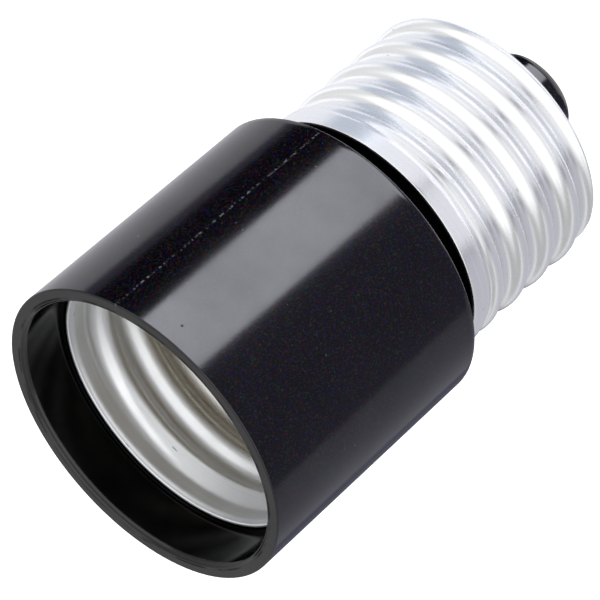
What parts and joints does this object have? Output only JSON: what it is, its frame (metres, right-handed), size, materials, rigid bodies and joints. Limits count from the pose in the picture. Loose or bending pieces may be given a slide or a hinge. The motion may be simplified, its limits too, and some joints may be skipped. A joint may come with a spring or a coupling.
{
  "type": "keyless lamp holder",
  "caption": "Black moulded keyless lamp holder: a screw base of bare aluminium at one end and a deep mouth with a recessed screw shell for a lamp at the other.",
  "frame": {"origin": "lowest point of the tip contact, on the axis", "axes": "+Z along the axis from the tip contact to the mouth that takes the lamp; the thread is right-hand about it"},
  "size_m": [0.0312, 0.0312, 0.0557],
  "materials": {
    "black_phenolic": "moulded, glossy, with fine flecks",
    "shell_aluminium": "bare rolled sheet, satin",
    "contact_brass": "stamped and clinched, bare"
  },
  "bodies": {
    "root": {"body": "black_phenolic", "base_screw_shell": "shell_aluminium", "lamp_screw_shell": "shell_aluminium", "contact_rivet": "contact_brass", "centre_contact": "contact_brass", "shell_link": "contact_brass", "shell_rivets": "contact_brass"}
  },
  "joints": []
}
